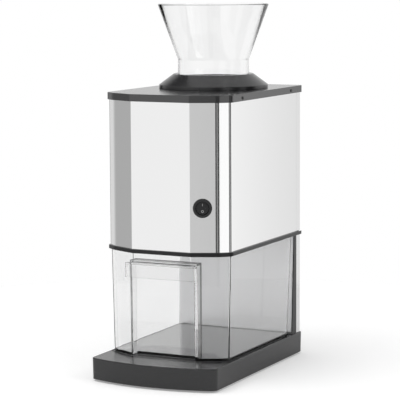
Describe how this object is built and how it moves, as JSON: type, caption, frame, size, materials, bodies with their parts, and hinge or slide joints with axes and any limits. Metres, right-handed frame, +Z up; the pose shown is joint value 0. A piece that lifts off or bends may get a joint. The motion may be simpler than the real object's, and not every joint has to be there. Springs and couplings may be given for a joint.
{
  "type": "electric ice crusher",
  "caption": "Upright electric ice crusher: steel housing with faceted front, clear hopper on a black collar, clear pull-out bin, bowed black base.",
  "frame": {"origin": "middle of the footprint, on the surface that the feet stand on", "axes": "+Z up, -Y out of the front, +X to the right as seen from the front"},
  "size_m": [0.1752, 0.286, 0.467],
  "materials": {
    "steel_sheet": "fine brushed, vertical grain",
    "black_cover": "satin black",
    "base_black": "satin",
    "frame_black": "satin",
    "collar_black": "semi-gloss",
    "clear_plastic": "clear, polished",
    "rubber_black": "matt",
    "seal_rubber": "matt",
    "screw_steel": "bright",
    "screw_black": "black oxide",
    "grey_steel": "satin",
    "zinc_plate": "zinc plated",
    "duct_white": "satin, food safe",
    "blade_steel": "stainless",
    "bronze_bush": "sintered bronze",
    "gear_steel": "sintered",
    "motor_paint": "satin",
    "magnet_dark": "ferrite",
    "copper_wire": "enamelled wire",
    "carbon": "graphite",
    "switch_black": "semi-gloss",
    "switch_case": "matt",
    "plunger_red": "satin",
    "terminal_cream": "satin"
  },
  "bodies": {
    "housing": {"base": "base_black", "sole_plate": "base_black", "rubber_feet": "rubber_black", "foot_screws": "screw_steel", "bay_frame": "frame_black", "bay_wall": "grey_steel", "post_screws": "screw_steel", "steel_wrap": "steel_sheet", "rear_cover": "steel_sheet", "corner_rails": "frame_black", "rear_screws": "screw_steel", "lid": "black_cover", "lid_screws": "screw_black", "throat_seat": "duct_white", "crusher_duct": "duct_white", "duct_screws": "screw_steel", "comb_front": "blade_steel", "comb_rear": "blade_steel", "bearing_right": "bronze_bush", "bearing_left": "bronze_bush", "drive_plate": "zinc_plate", "gear_cover": "switch_case", "gear_cover_screws": "screw_steel", "counter_axle": "screw_steel", "motor_can": "motor_paint", "motor_bell_right": "motor_paint", "motor_bell_left": "motor_paint", "motor_magnets": "magnet_dark", "motor_screws": "screw_steel", "carbon_brushes": "carbon", "motor_cradle": "zinc_plate", "switch_body": "switch_case", "safety_switch": "switch_case", "cord_bushing": "rubber_black", "terminal_block": "terminal_cream"},
    "hopper_unit": {"hopper": "clear_plastic", "hopper_collar": "collar_black", "hopper_seal": "seal_rubber"},
    "bin_unit": {"bin_body": "clear_plastic", "bin_grip": "clear_plastic"},
    "rotor": {"rotor_shaft": "blade_steel", "crusher_blades": "blade_steel", "blade_spacers": "blade_steel", "rotor_gear": "gear_steel", "shaft_clip": "screw_steel"},
    "gear_pair": {"compound_gear": "gear_steel"},
    "armature": {"motor_shaft": "screw_steel", "armature_core": "gear_steel", "armature_coils": "copper_wire", "commutator": "copper_wire", "motor_pinion": "gear_steel", "motor_fan": "switch_case"},
    "rocker": {"switch_rocker": "switch_black"},
    "plunger": {"safety_plunger": "plunger_red"}
  },
  "joints": [
    {"name": "hopper_lift", "type": "slide", "parent": "housing", "child": "hopper_unit", "axis": [0, 0, 1], "range_m": [0, 0.06]},
    {"name": "bin_slide", "type": "slide", "parent": "housing", "child": "bin_unit", "axis": [0, -1, 0], "range_m": [0, 0.2]},
    {"name": "rotor_spin", "type": "hinge", "parent": "housing", "child": "rotor", "pos_m": [0, 0.049, 0.3], "axis": [1, 0, 0], "continuous": true},
    {"name": "gear_pair_spin", "type": "hinge", "parent": "housing", "child": "gear_pair", "pos_m": [0.055, 0.004, 0.3], "axis": [1, 0, 0], "continuous": true},
    {"name": "armature_spin", "type": "hinge", "parent": "housing", "child": "armature", "pos_m": [0, -0.032, 0.3], "axis": [1, 0, 0], "continuous": true},
    {"name": "rocker_tilt", "type": "hinge", "parent": "housing", "child": "rocker", "pos_m": [0.05393, -0.09613, 0.2211], "axis": [0.91, 0.4147, 0], "range_deg": [0, 18]},
    {"name": "plunger_press", "type": "slide", "parent": "housing", "child": "plunger", "axis": [0, 0, -1], "range_m": [0, 0.0015], "stiffness_N_per_m": 400}
  ],
  "couplings": [
    {"joint": "gear_pair_spin", "follows": "rotor_spin", "ratio": -4},
    {"joint": "armature_spin", "follows": "rotor_spin", "ratio": 20}
  ]
}
